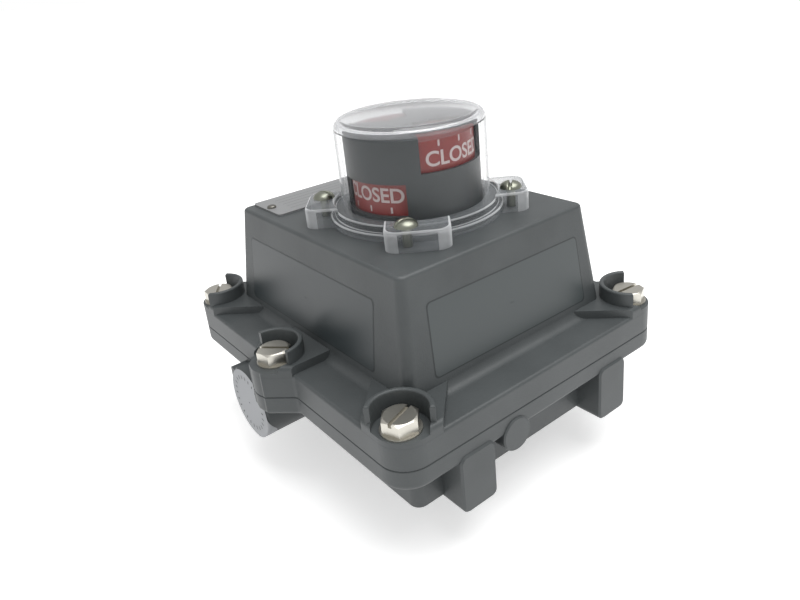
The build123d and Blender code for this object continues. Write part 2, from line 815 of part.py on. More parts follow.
def switch_spacer():
    low = shelf_z + plate_thickness + switch_height
    x0 = -lever_arm - switch_overhang
    far = (x0 + switch_length, switch_face + switch_depth, low + spacer_height)
    pad = cuboid((x0, switch_face, low), far)
    for x, y in switch_holes():
        pad -= drum(switch_hole_radius, low - 1, low + spacer_height + 1, x, y)
    return pad


def switch_screws():
    seat = switch_base("open") + switch_height
    screws = []
    for x, y in switch_holes():
        screw = pan_screw(2.8, 2.0, switch_hole_radius - 0.05, seat, seat - shelf_z)
        screws.append(Pos(x, y, 0) * screw)
    return Compound(screws)


def switch_bracket():
    """Bent plate: foot on two posts, web, and a shelf under the switches."""
    x0 = -lever_arm - switch_overhang - 1
    x1 = x0 + switch_length + 6
    low = floor_z + post_height
    web_y = switch_face + switch_depth + 1.0
    foot_plate = cuboid((x0, web_y, low), (x1, web_y + 12, low + plate_thickness))
    web = cuboid((x0, web_y, low), (x1, web_y + plate_thickness, shelf_z + plate_thickness))
    far = (x1, web_y + plate_thickness, shelf_z + plate_thickness)
    shelf = cuboid((x0, switch_face + 1.5, shelf_z), far)
    plate = foot_plate + web + shelf
    window = cuboid((x0 + 7, web_y - 1, low + 8), (x1 - 7, web_y + 5, shelf_z - 8))
    plate -= fillet(window.edges().filter_by(Axis.Y), 3)
    for x, y in bracket_feet:
        plate -= drum(1.8, low - 1, low + plate_thickness + 1, x, y)
    for x, y in switch_holes():
        plate -= drum(switch_hole_radius, shelf_z - 1, shelf_z + plate_thickness + 1, x, y)
    return plate


def bracket_screws():
    seat = floor_z + post_height + plate_thickness
    screw = pan_screw(2.9, 2.0, inner_thread - 0.05, seat, 8)
    return Compound([Pos(x, y, 0) * screw for x, y in bracket_feet])


# ---------------------------------------------------------------- terminals and earth


def terminal_strip():
    """Row of screw terminals with walls between the poles and a lug at each end."""
    half = pole_count * pole_pitch / 2
    y = terminal_feet[0][1]
    top = strip_low + strip_height
    block = cuboid((-half, y - strip_depth / 2, strip_low), (half, y + strip_depth / 2, top))
    for k in range(pole_count):
        x = -half + pole_pitch * (k + 0.5)
        for side in (-1, 1):
            step = cuboid((x - 3.2, y, strip_low + 9), (x + 3.2, y + strip_depth, top + 1))
            if side < 0:
                step = Pos(0, 2 * y, 0) * mirror(step, Plane.XZ)
            block -= Pos(0, side * 3.0, 0) * step
            block -= drum(1.6, strip_low + 3, strip_low + 12, x, y + side * 6.5)
    for x, place_y in terminal_feet:
        reach = x + math.copysign(4.5, x)
        low_x, high_x = sorted((reach, math.copysign(half - 0.5, x)))
        block += cuboid((low_x, y - 5, strip_low), (high_x, y + 5, strip_low + 4))
        block -= drum(1.8, strip_low - 1, strip_low + 6, x, place_y)
    return block


def terminal_screws():
    seat = strip_low + 9
    y = terminal_feet[0][1]
    screws = []
    for k in range(pole_count):
        x = -pole_count * pole_pitch / 2 + pole_pitch * (k + 0.5)
        for side in (-1, 1):
            screws.append(Pos(x, y + side * 6.5, 0) * pan_screw(2.6, 2.0, 1.5, seat, 5.5))
    return Compound(screws)


def terminal_mount_screws():
    seat = strip_low + 4
    screw = pan_screw(2.9, 2.0, inner_thread - 0.05, seat, 9)
    return Compound([Pos(x, y, 0) * screw for x, y in terminal_feet])


def earth_screw():
    seat = floor_z + post_height + 1.2
    return Pos(*earth_place, 0) * pan_screw(3.6, 2.4, inner_thread - 0.05, seat, 6)


def earth_washer():
    low = floor_z + post_height
    return tube(4.2, 1.7, low, low + 1.2, *earth_place)


def switch_wires():
    """Leads from the switch tabs over the bracket down to the terminal strip."""
    wires = []
    x0 = -lever_arm - switch_overhang
    strip_y = terminal_feet[0][1] - strip_depth / 2
    for row, kind in enumerate(("closed", "open")):
        middle = switch_base(kind) + switch_height / 2
        for k in range(3):
            x = x0 + 4 + k * (switch_length - 8) / 2
            start_y = switch_face + switch_depth + 6.3
            end_x = -pole_count * pole_pitch / 2 + pole_pitch * (3 * row + k + 0.5)
            out_y = start_y + 4.5 + 2.4 * row
            level = strip_low + strip_height + 3.0 + 7.0 * row + 2.0 * k
            points = [
                (x, start_y, middle),
                (x, out_y, middle),
                (x, out_y, level),
                (end_x, strip_y + 3.5, level),
                (end_x, strip_y + 3.5, strip_low + 11.1),
            ]
            path = FilletPolyline(*points, radius=[2.2, 2.6, 2.6])
            wires.append(sweep(Plane(origin=path @ 0, z_dir=path % 0) * Circle(wire_radius), path=path))
    return Compound(wires)


# ---------------------------------------------------------------- outside trim


def blanking_plug():
    """Flush plug with a hexagon socket that closes the spare entry on +X."""
    plug = Rot(0, 90, 0) * Cylinder(conduit_radius - 0.05, plug_length)
    plug = chamfer(plug.edges().sort_by(Axis.X)[-1], 1.0)
    socket = extrude(Plane.YZ * RegularPolygon(5, 6, major_radius=False), plug_length)
    plug -= Pos(plug_length / 2 - 8, 0, 0) * socket
    return Pos(conduit_reach - 1 - plug_length / 2, conduit_y, conduit_z) * plug


def nameplate():
    plate = extrude(RectangleRounded(plate_x, plate_y, 2), name_thickness)
    plate = Pos(0, housing_y + plate_y0, cover_top) * plate
    for x, y in rivet_places():
        plate -= drum(rivet_radius + 0.1, cover_top - 1, cover_top + 2, x, y)
    return plate


def rivet_places():
    return [(side * rivet_pitch / 2, housing_y + plate_y0) for side in (-1, 1)]


def nameplate_rivets():
    rivets = []
    for x, y in rivet_places():
        head = drum(2.2, cover_top + name_thickness, cover_top + name_thickness + 1.1)
        head = fillet(head.edges().sort_by(Axis.Z)[-1], 0.9)
        shank = drum(rivet_radius - 0.05, cover_top - 3.5, cover_top + name_thickness + 0.2)
        rivets.append(Pos(x, y, 0) * (head + shank))
    return Compound(rivets)


NODES = {
    "base_housing": base_housing,
    "cover": cover,
    "cover_seal": cover_seal,
    "cover_bolts": cover_bolts,
    "cover_bolt_washers": cover_bolt_washers,
    "dome": dome,
    "dome_seal": dome_seal,
    "dome_screws": dome_screws,
    "indicator_mask": indicator_mask,
    "indicator_rotor": indicator_rotor,
    "closed_bands": closed_bands,
    "open_bands": open_bands,
    "shaft": shaft,
    "shaft_bushing": shaft_bushing,
    "shaft_seals": shaft_seals,
    "shaft_retaining_ring": shaft_retaining_ring,
    "thrust_washer": thrust_washer,
    "indicator_shaft": indicator_shaft,
    "cover_bushing": cover_bushing,
    "stub_retaining_ring": stub_retaining_ring,
    "cam_closed": cam_closed,
    "cam_open": cam_open,
    "cam_hub": cam_hub,
    "hub_pin": hub_pin,
    "cam_spring": cam_spring,
    "switch_closed": lambda: switch_body("closed"),
    "switch_open": lambda: switch_body("open"),
    "lever_closed": lambda: lever("closed"),
    "lever_open": lambda: lever("open"),
    "plunger_closed": lambda: plunger("closed"),
    "plunger_open": lambda: plunger("open"),
    "switch_spacer": switch_spacer,
    "switch_screws": switch_screws,
    "switch_bracket": switch_bracket,
    "bracket_screws": bracket_screws,
    "terminal_strip": terminal_strip,
    "terminal_screws": terminal_screws,
    "terminal_mount_screws": terminal_mount_screws,
    "earth_screw": earth_screw,
    "earth_washer": earth_washer,
    "switch_wires": switch_wires,
    "blanking_plug": blanking_plug,
    "nameplate": nameplate,
    "nameplate_rivets": nameplate_rivets,
}

os.makedirs("parts", exist_ok=True)
for name, make in NODES.items():
    export_step(make(), f"parts/{name}.step")
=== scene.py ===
import bpy
import bmesh
import numpy as np
import math
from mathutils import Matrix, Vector


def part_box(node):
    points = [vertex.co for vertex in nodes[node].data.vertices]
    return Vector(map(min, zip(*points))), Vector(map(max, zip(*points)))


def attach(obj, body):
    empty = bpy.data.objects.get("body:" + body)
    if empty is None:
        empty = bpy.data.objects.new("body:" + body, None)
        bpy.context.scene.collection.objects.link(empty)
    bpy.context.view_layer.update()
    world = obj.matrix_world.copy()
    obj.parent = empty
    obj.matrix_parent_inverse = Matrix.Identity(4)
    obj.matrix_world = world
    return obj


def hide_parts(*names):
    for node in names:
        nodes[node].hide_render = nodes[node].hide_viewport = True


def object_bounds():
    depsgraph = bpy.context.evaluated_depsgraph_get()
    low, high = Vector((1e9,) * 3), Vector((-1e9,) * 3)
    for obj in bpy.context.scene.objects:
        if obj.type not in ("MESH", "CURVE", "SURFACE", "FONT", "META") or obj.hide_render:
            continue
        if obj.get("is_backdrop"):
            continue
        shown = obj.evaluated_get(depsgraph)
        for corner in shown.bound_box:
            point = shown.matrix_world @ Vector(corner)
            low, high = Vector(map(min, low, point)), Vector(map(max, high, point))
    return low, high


# Valve limit switch box. Metres, in the frame of the CAD model:
# the origin is on the shaft axis at the mounting plane, +Z up, -Y front.

MM = 0.001


def srgb(r, g, b):
    """Linear colour from 8-bit display values."""
    c = np.array([r, g, b]) / 255.0
    lin = np.where(c <= 0.04045, c / 12.92, ((c + 0.055) / 1.055) ** 2.4)
    return (*lin.tolist(), 1.0)


scene = bpy.context.scene
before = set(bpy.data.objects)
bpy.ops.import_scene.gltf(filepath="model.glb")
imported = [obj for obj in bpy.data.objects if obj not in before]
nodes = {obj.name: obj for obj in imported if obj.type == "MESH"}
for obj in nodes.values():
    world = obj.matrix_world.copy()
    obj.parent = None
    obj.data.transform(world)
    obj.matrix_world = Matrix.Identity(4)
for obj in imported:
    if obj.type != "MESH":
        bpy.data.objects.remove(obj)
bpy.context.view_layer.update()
HOUSING = "housing_assembly"
SHAFT = "shaft_line"
POLE = 0.01 * MM      # radius at which a surface of revolution stops short of the axis
LIFT = 0.01 * MM      # keeps a clear face off the cover that it stands on
FULL_TURN = 2 * math.pi
FACING_END = 0.95     # layer weight at which clear plastic is at its densest
ARC_POINTS = 7        # points on each rounded corner of an outline


# ---------------------------------------------------------------- finishes
def finish(name, colour, roughness=0.5, metallic=0.0, **sockets):
    """Plain principled finish; sockets are named with underscores for spaces."""
    material = bpy.data.materials.new(name)
    material.use_nodes = True
    shader = material.node_tree.nodes["Principled BSDF"]
    shader.inputs["Base Color"].default_value = colour
    shader.inputs["Roughness"].default_value = roughness
    shader.inputs["Metallic"].default_value = metallic
    for socket, value in sockets.items():
        shader.inputs[socket.replace("_", " ")].default_value = value
    return material


def grain(material, scale, strength, distance, detail=2.0):
    """Fine relief from noise in object space."""
    tree = material.node_tree
    place = tree.nodes.new("ShaderNodeTexCoord")
    noise = tree.nodes.new("ShaderNodeTexNoise")
    bump = tree.nodes.new("ShaderNodeBump")
    noise.inputs["Scale"].default_value = scale
    noise.inputs["Detail"].default_value = detail
    bump.inputs["Strength"].default_value = strength
    bump.inputs["Distance"].default_value = distance
    tree.links.new(place.outputs["Object"], noise.inputs["Vector"])
    tree.links.new(noise.outputs["Fac"], bump.inputs["Height"])
    tree.links.new(bump.outputs["Normal"], tree.nodes["Principled BSDF"].inputs["Normal"])
    return material


def clear_plastic(name, colour, face_on, edge_on, start, roughness=0.06):
    """Clear plastic without refraction, for walls that are seen through.

    Its opacity goes from face_on to edge_on by a smooth step of the layer weight, from start to FACING_END.
    """
    material = finish(name, colour, roughness, IOR=1.49)
    tree = material.node_tree
    weight = tree.nodes.new("ShaderNodeLayerWeight")
    weight.inputs["Blend"].default_value = 0.5
    share = tree.nodes.new("ShaderNodeMapRange")
    share.interpolation_type = "SMOOTHSTEP"
    share.inputs["From Min"].default_value = start
    share.inputs["From Max"].default_value = FACING_END
    share.inputs["To Min"].default_value = face_on
    share.inputs["To Max"].default_value = edge_on
    tree.links.new(weight.outputs["Facing"], share.inputs["Value"])
    tree.links.new(share.outputs[0], tree.nodes["Principled BSDF"].inputs["Alpha"])
    return material


def weathered(material, colour, worn, scale):
    """Cloudy colour: slow noise in object space moves the colour between two near tones."""
    tree = material.node_tree
    place = tree.nodes.new("ShaderNodeTexCoord")
    noise = tree.nodes.new("ShaderNodeTexNoise")
    noise.inputs["Scale"].default_value = scale
    noise.inputs["Detail"].default_value = 6.0
    tones = tree.nodes.new("ShaderNodeValToRGB")
    tones.color_ramp.elements[0].position = 0.35
    tones.color_ramp.elements[0].color = colour
    tones.color_ramp.elements[1].position = 0.7
    tones.color_ramp.elements[1].color = worn
    tree.links.new(place.outputs["Object"], noise.inputs["Vector"])
    tree.links.new(noise.outputs["Fac"], tones.inputs["Fac"])
    tree.links.new(tones.outputs["Color"], tree.nodes["Principled BSDF"].inputs["Base Color"])
    return material


powder_coat = grain(finish("powder_coat", srgb(70, 74, 75), 0.46), 1400, 0.25, 0.0002)
weathered(powder_coat, srgb(66, 70, 71), srgb(75, 79, 80), 38)
stainless = grain(finish("stainless_steel", srgb(196, 193, 184), 0.32, 1.0), 900, 0.12, 0.0002)
clear_wall = clear_plastic("clear_wall", srgb(190, 194, 198), 0.04, 0.85, 0.62)
clear_inside = clear_plastic("clear_inside", srgb(222, 225, 228), 0.02, 0.5, 0.7)
clear_top = finish("clear_top", srgb(232, 233, 235), 0.05, IOR=1.49, Transmission_Weight=0.91)
clear_block = clear_plastic("clear_block", srgb(132, 136, 139), 0.22, 0.7, 0.35)
# paler, denser clear finish for rounded edges of the ring, step and lugs: a painted highlight for the light
# those edges catch
clear_edge_painted_highlight = clear_plastic("clear_edge_painted_highlight", srgb(228, 230, 232), 0.32, 0.9, 0.25)
drum_grey = finish("drum_grey", srgb(50, 54, 55), 0.42)
band_red = finish("band_red", srgb(132, 33, 27), 0.35)
band_green = finish("band_green", srgb(28, 116, 60), 0.35)
legend_white = finish("legend_white", srgb(198, 184, 182), 0.5)
seal_rubber = finish("seal_rubber", srgb(38, 38, 38), 0.7)
bronze = finish("bronze", srgb(168, 128, 78), 0.35, 1.0)
label_metal = grain(finish("label_metal", srgb(152, 153, 154), 0.42, 0.5), 300, 0.05, 0.0002)
screw_steel = grain(finish("screw_steel", srgb(142, 144, 132), 0.36, 1.0), 900, 0.12, 0.0002)
rivet_steel = finish("rivet_steel", srgb(120, 118, 112), 0.35, 1.0)
print_grey = finish("print_grey", srgb(112, 114, 115), 0.6)
film_face = finish("film_face", srgb(68, 74, 75), 0.34)
# the same film as film_face, painted darker for the left wall: painted shade
film_face_left = finish("film_face_left", srgb(54, 60, 62), 0.34)
film_rim = finish("film_rim", srgb(44, 49, 50), 0.45)
paper = grain(finish("paper_white", srgb(172, 174, 177), 0.7), 500, 0.1, 0.0002)
paper_print = finish("paper_print", srgb(104, 106, 108), 0.7)
zinc = finish("zinc_steel", srgb(188, 188, 186), 0.3, 1.0)
black_plastic = finish("black_plastic", srgb(32, 32, 33), 0.45)
strip_grey = finish("strip_grey", srgb(140, 142, 140), 0.5)
wire_blue = finish("wire_blue", srgb(36, 58, 120), 0.5)

FINISH = {
    powder_coat: ["base_housing", "cover"],
    stainless: ["cover_bolts", "cover_bolt_washers", "dome_screws", "shaft", "indicator_shaft",
                "blanking_plug"],
    clear_wall: ["dome"],
    drum_grey: ["indicator_mask"],
    black_plastic: ["indicator_rotor", "cam_hub", "switch_closed", "switch_open"],
    band_red: ["closed_bands", "cam_closed", "plunger_closed", "plunger_open"],
    band_green: ["open_bands", "cam_open"],
    seal_rubber: ["cover_seal", "dome_seal", "shaft_seals"],
    bronze: ["shaft_bushing", "thrust_washer", "cover_bushing", "earth_screw", "earth_washer"],
    label_metal: ["nameplate"],
    rivet_steel: ["nameplate_rivets"],
    zinc: ["shaft_retaining_ring", "stub_retaining_ring", "hub_pin", "cam_spring", "lever_closed",
           "lever_open", "switch_screws", "switch_bracket", "bracket_screws", "terminal_screws",
           "terminal_mount_screws"],
    strip_grey: ["switch_spacer", "terminal_strip"],
    wire_blue: ["switch_wires"],
}
for material, names in FINISH.items():
    for name in names:
        if name in nodes:
            nodes[name].data.materials.clear()
            nodes[name].data.materials.append(material)


# ---------------------------------------------------------------- surfaces
def piece(name, points, faces, material, body):
    """New mesh piece from an array of points and a face list, riding on a body."""
    mesh = bpy.data.meshes.new(name)
    mesh.from_pydata(points.reshape(-1, 3).tolist(), [], faces)
    mesh.materials.append(material)
    made = bpy.data.objects.new(name, mesh)
    scene.collection.objects.link(made)
    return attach(made, body)


def grid_faces(rows, columns, closed):
    """Quads of a grid of points, row by row; a closed grid joins its last column to the first."""
    span = columns if closed else columns - 1
    i, j = np.meshgrid(np.arange(rows - 1), np.arange(span), indexing="ij")
    k = (j + 1) % columns
    here, below = i * columns, (i + 1) * columns
    quads = np.stack([here + j, here + k, below + k, below + j], -1)
    return quads.reshape(-1, 4).tolist()


def separate_quads(count):
    """Faces of a row of separate four-cornered patches, four points each."""
    return [(4 * k, 4 * k + 1, 4 * k + 2, 4 * k + 3) for k in range(count)]


def rounded_outline(corners, radius, steps=ARC_POINTS):
    """Closed outline through the corners, each replaced by an arc of the radius.

    The arc's middle lies on the corner's bisector, radius / sin(half angle) from the corner.
    """
    corners = np.array(corners, float)
    back = np.roll(corners, 1, 0) - corners
    ahead = np.roll(corners, -1, 0) - corners
    back /= np.linalg.norm(back, axis=1)[:, None]
    ahead /= np.linalg.norm(ahead, axis=1)[:, None]
    half = np.arccos(np.clip((back * ahead).sum(1), -1, 1)) / 2
    bisector = back + ahead
    bisector /= np.linalg.norm(bisector, axis=1)[:, None]
    middle = corners + bisector * (radius / np.sin(half))[:, None]
    first = corners + back * (radius / np.tan(half))[:, None] - middle
    last = corners + ahead * (radius / np.tan(half))[:, None] - middle
    start = np.arctan2(first[:, 1], first[:, 0])
    turn = np.arctan2(last[:, 1], last[:, 0]) - start
    turn = (turn + math.pi) % (2 * math.pi) - math.pi
    share = np.linspace(0, 1, steps)
    angle = start[:, None] + turn[:, None] * share[None, :]
    arcs = middle[:, None, :] + radius * np.stack([np.cos(angle), np.sin(angle)], -1)
    return arcs.reshape(-1, 2)


def filled(outline, rings=3):
    """Rings of points that shrink from an outline to its middle: p = m + t (o - m), t from 1 to 0.02."""
    middle = outline.mean(0)
    share = np.linspace(1, 0.02, rings)[:, None, None]
    return middle + share * (outline[None] - middle)


def turned(profile, first=0.0, last=FULL_TURN, segments=160):
    """Surface of revolution about the shaft axis: a profile point (r, z) goes to (r cos a, r sin a, z)."""
    whole = last - first > FULL_TURN - 1e-6
    angle = np.linspace(first, last, segments, endpoint=not whole)
    profile = np.array(profile)
    r = profile[:, 0, None]
    z = np.broadcast_to(profile[:, 1, None], (len(profile), segments))
    return np.stack([r * np.cos(angle), r * np.sin(angle), z], -1)


def arc(middle, radius, first, last, steps=7):
    """Points of an arc in (r, z) between two directions in degrees."""
    angle = np.radians(np.linspace(first, last, steps))
    return [(middle[0] + radius * math.cos(a), middle[1] + radius * math.sin(a)) for a in angle]


def spun(angle):
    """Matrix that turns row points about +Z by an angle: (x, y) goes to (x cos - y sin, x sin + y cos)."""
    cos, sin = math.cos(angle), math.sin(angle)
    return np.array([[cos, sin, 0], [-sin, cos, 0], [0, 0, 1]])


def smoothed(made, limit=35):
    """Smooth shading, with edges sharper than the limit in degrees kept crisp."""
    made.data.polygons.foreach_set("use_smooth", np.ones(len(made.data.polygons), bool))
    made.data.set_sharp_from_angle(angle=math.radians(limit))
    return made


def hoop(name, profile, material, body, first=0.0, last=FULL_TURN, segments=160, slots=None):
    """Solid swept round the axis from a closed profile (r, z) that runs anticlockwise.

    A sweep short of a full turn is closed by its profile at both ends. With slots, material is a list and
    each stretch of the profile names its own.
    """
    points = turned(profile, first, last, segments)
    rows, columns = points.shape[:2]
    whole = last - first > FULL_TURN - 1e-6
    span = columns if whole else columns - 1
    i, j = np.meshgrid(np.arange(rows), np.arange(span), indexing="ij")
    k, m = (i + 1) % rows, (j + 1) % columns
    quads = np.stack([i * columns + j, i * columns + m, k * columns + m, k * columns + j], -1)
    faces = quads.reshape(-1, 4).tolist()
    if not whole:
        faces.append([r * columns for r in range(rows)])
        faces.append([r * columns + columns - 1 for r in range(rows)][::-1])
    made = piece(name, points, faces, material if slots is None else material[0], body)
    if slots is not None:
        for extra in material[1:]:
            made.data.materials.append(extra)
        indices = np.repeat(np.array(slots, dtype=np.int32), span)
        made.data.polygons.foreach_set("material_index", indices)
    return smoothed(made)


# ---------------------------------------------------------------- dome
cover_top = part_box("nameplate")[0].z
dome_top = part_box("dome")[1].z
DOME_RADIUS = 33.1 * MM
DOME_WALL = 2.2 * MM
DOME_ROUND = 4.0 * MM
RING = (38.8 * MM, 3.2 * MM)          # radius and height of the base ring
STEP = (36.6 * MM, 6.4 * MM)          # and of the step above it
EDGE = 0.6 * MM
LUG_HEIGHT = 8.6 * MM
LUG_REACH = (35.0 * MM, 49.2 * MM)
LUG_HALF = 13.4 * MM
LUG_ROUND = 5.5 * MM
LUG_TOP_ROUND = 1.0 * MM
LUG_BACK = 20 * MM                    # how far a lug is drawn under the ring before it is trimmed
LUG_SCREW = 42.2 * MM
LUG_TURN = 6.7                        # degrees past the diagonals
SCREW_TURN = 0.8                      # degrees past the diagonals
HEAD_RADIUS = 4.9 * MM
HEAD_HEIGHT = 3.0 * MM
SLOT_HALF = 0.55 * MM
SLOT_DEPTH = 1.5 * MM
SHANK_RADIUS = 1.95 * MM
HEAD_LIFT = 0.05 * MM
SLOT_BLUR = 0.07 * MM
SCREW_SEGMENTS = 72


def dome_cup():
    """Clear cup: outer wall, rounded crown, and the same inside at wall thickness, turned about the axis."""
    low = cover_top + STEP[1] - EDGE
    crown = (DOME_RADIUS - DOME_ROUND, dome_top - DOME_ROUND)
    outside = [(DOME_RADIUS, low)] + arc(crown, DOME_ROUND, 0, 90, 14) + [(POLE, dome_top)]
    inside = [(POLE, dome_top - DOME_WALL)] + arc(crown, DOME_ROUND - DOME_WALL, 90, 0, 10)
    profile = outside + inside + [(DOME_RADIUS - DOME_WALL, low)]
    slots = [0] + [2] * (len(profile) - 3) + [1, 0]
    hoop("dome_cup", profile, [clear_wall, clear_inside, clear_top], HOUSING, slots=slots)


def dome_ring():
    """Base ring and step from the dome's inner wall outwards; their rounded edges take a paler, denser clear
    finish as a painted highlight.
    """
    inner = DOME_RADIUS - DOME_WALL
    ring = [(inner, cover_top + LIFT), (RING[0], cover_top + LIFT)]
    ring += arc((RING[0] - EDGE, cover_top + RING[1] - EDGE), EDGE, 0, 90, 5)
    ring += arc((STEP[0] + EDGE / 2, cover_top + RING[1] + EDGE / 2), EDGE / 2, 270, 180, 4)
    ring += arc((STEP[0] - EDGE, cover_top + STEP[1] - EDGE), EDGE, 0, 90, 5)
    ring += [(inner, cover_top + STEP[1])]
    # slot 1 is the painted highlight on the rounded edges
    slots = [0, 0] + [1] * 4 + [0] + [1] * 3 + [0] + [1] * 4 + [0, 0]
    hoop("dome_ring", ring, [clear_block, clear_edge_painted_highlight], HOUSING, slots=slots)


def lug_outline():
    """Plan of a lug about +X: two rounded outer corners, and the ring's curve inside."""
    back_x = LUG_REACH[0] - LUG_BACK
    outer = rounded_outline([(back_x, -LUG_HALF), (LUG_REACH[1], -LUG_HALF),
                             (LUG_REACH[1], LUG_HALF), (back_x, LUG_HALF)], LUG_ROUND)
    keep = outer[outer[:, 0] > LUG_REACH[0]]
    edge = math.asin(LUG_HALF / STEP[0])
    back = np.linspace(edge, -edge, 15)
    return np.concatenate([keep, np.stack([STEP[0] * np.cos(back), STEP[0] * np.sin(back)], -1)])


def dome_lugs():
    """Four clear blocks at the diagonals, each an outline carried up, rounded in at its top edge; the
    rounded corners and top edge carry a painted highlight.
    """
    plan = lug_outline()
    middle = np.array([(LUG_REACH[0] + LUG_REACH[1]) / 2, 0])
    shoulder = LUG_HEIGHT - LUG_TOP_ROUND
    levels = [(LIFT, 0.0), (shoulder, 0.0)]
    levels += [(shoulder + LUG_TOP_ROUND * math.sin(a), LUG_TOP_ROUND * (1 - math.cos(a)))
               for a in np.radians([22, 45, 68, 90])]
    rings = []
    for height, inset in levels:
        toward = middle - plan
        toward /= np.linalg.norm(toward, axis=1)[:, None]
        ring = plan + toward * inset
        rings.append(np.column_stack([ring, np.full(len(ring), cover_top + height)]))
    rings = np.array(rings)
    count = rings.shape[1]
    faces = grid_faces(len(rings), count, True)
    faces.append(list(range(count))[::-1])
    faces.append([(len(rings) - 1) * count + k for k in range(count)])
    column = np.tile(np.arange(count), len(rings) - 1)
    row = np.repeat(np.arange(len(rings) - 1), count)
    first_round = column < ARC_POINTS - 1
    second_round = (column > ARC_POINTS - 1) & (column < 2 * ARC_POINTS - 1)
    corner_round = first_round | second_round
    # rounded corners and the rounded top edge take the painted highlight finish
    painted_highlight_slots = np.append(((row > 0) | corner_round).astype(np.int32), [0, 0]).astype(np.int32)
    for corner in range(4):
        turn = math.radians(45 + 90 * corner + LUG_TURN)
        made = piece(f"dome_lug_{corner}", rings @ spun(turn), faces, clear_block, HOUSING)
        made.data.materials.append(clear_edge_painted_highlight)
        made.data.polygons.foreach_set("material_index", painted_highlight_slots)
        smoothed(made)


def dome_screws():
    """Pan-head screws: a crowned head and shank turned about each screw's own axis, with a driver slot.

    The crown is half an ellipse in (r, z), and the slot lowers the points within half its width of a
    line through the middle: z = crown - depth where |across| < half width.
    """
    seat = cover_top + LUG_HEIGHT
    grid = np.linspace(0, 1, 28)
    turn = np.linspace(0, FULL_TURN, SCREW_SEGMENTS, endpoint=False)
    around = np.ones(SCREW_SEGMENTS)
    radius = HEAD_RADIUS * np.sin(grid * math.pi / 2)[:, None] * around
    ellipse = np.sqrt(np.clip(1 - (radius / HEAD_RADIUS) ** 2, 0, 1))
    crown = seat + HEAD_LIFT + HEAD_HEIGHT * ellipse
    radius[0] = POLE
    across = radius * np.sin(turn)
    slot = 1 / (1 + np.exp((np.abs(across) - SLOT_HALF) / SLOT_BLUR))
    crown = np.maximum(crown - SLOT_DEPTH * slot, seat + 2 * HEAD_LIFT)
    foot_radius = np.array([HEAD_RADIUS, SHANK_RADIUS, SHANK_RADIUS])[:, None] * around
    foot = np.array([seat, seat, cover_top + 2 * HEAD_LIFT])[:, None] * around
    rows_radius = np.concatenate([radius, foot_radius])
    rows_height = np.concatenate([crown, foot])
    local = np.stack([rows_radius * np.cos(turn), rows_radius * np.sin(turn), rows_height], -1)[:, ::-1]
    faces = grid_faces(len(local), SCREW_SEGMENTS, True)
    faces.append(list(range(SCREW_SEGMENTS))[::-1])
    faces.append([(len(local) - 1) * SCREW_SEGMENTS + k for k in range(SCREW_SEGMENTS)])
    for k in range(4):
        heading = math.radians(45 + 90 * k + SCREW_TURN)
        own = math.radians(70 + 50 * k)
        place = np.array([LUG_SCREW * math.cos(heading), LUG_SCREW * math.sin(heading), 0])
        made = piece(f"dome_screw_{k}", local @ spun(own) + place, faces, screw_steel, HOUSING)
        smoothed(made, 50)
    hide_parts("dome_screws")


dome_cup()
dome_ring()
dome_lugs()
dome_screws()
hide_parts("dome")


# ---------------------------------------------------------------- mask and bands
MASK_RADIUS = 29.6 * MM
MASK_WALL = 1.4 * MM
MASK_HUB = 8.5 * MM
MASK_TOP_ROUND = 1.0 * MM
DIAL_TURN = math.radians(6.7)          # how far round from the CAD model the dial sits
WINDOW = math.radians(77.2)
MASK_SPLIT = 23.2 * MM
MASK_RIM = 3.8 * MM
MASK_SILL = 7.7 * MM
mask_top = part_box("indicator_mask")[1].z


def mask_part(name, first, last, low, high, cap):
    """Wall of the mask between two directions and two heights; a cap folds in over the top to the hub."""
    outer, inner = MASK_RADIUS, MASK_RADIUS - MASK_WALL
    if cap:
        corner = (outer - MASK_TOP_ROUND, high - MASK_TOP_ROUND)
        profile = [(inner, low), (outer, low)] + arc(corner, MASK_TOP_ROUND, 0, 90, 6)
        profile += [(MASK_HUB, high), (MASK_HUB, high - MASK_WALL), (inner, high - MASK_WALL)]
    else:
        profile = [(inner, low), (outer, low), (outer, high), (inner, high)]
    hoop(name, profile, drum_grey, HOUSING, first, last, 90 if last - first < 6 else 180)


def indicator_shell():
    """Mask: full rings below, between and at the hub, with walls left standing between its windows."""
    sill = cover_top + MASK_SILL
    split_low = cover_top + MASK_SPLIT - MASK_RIM / 2
    split_high = cover_top + MASK_SPLIT + MASK_RIM / 2
    post = math.pi / 2 + (math.pi / 2 - WINDOW)
    mask_part("mask_foot", 0, FULL_TURN, cover_top + 2 * LIFT, sill, False)
    mask_part("mask_belt", 0, FULL_TURN, split_low, split_high, False)
    for side, heading in enumerate((90, 270)):
        middle = math.radians(heading) + DIAL_TURN
        mask_part(f"mask_low_wall_{side}", middle - post / 2, middle + post / 2, sill, split_low, False)
    for side, heading in enumerate((0, 180)):
        middle = math.radians(heading) + DIAL_TURN
        mask_part(f"mask_high_wall_{side}", middle - post / 2, middle + post / 2, split_high, mask_top, True)
    hub = [(POLE, mask_top - MASK_WALL), (MASK_HUB, mask_top - MASK_WALL),
           (MASK_HUB, mask_top), (POLE, mask_top)]
    hoop("mask_hub", hub, drum_grey, HOUSING)


BAND_RADIUS = 27.4 * MM
BAND_WALL = 0.8 * MM
BAND_HOLE = 3.0 * MM
BAND_GAP = 0.2 * MM                    # from the middle of the belt to each row of bands
BAND_SPREAD = math.radians(89.6)
band_low, band_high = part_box("closed_bands")


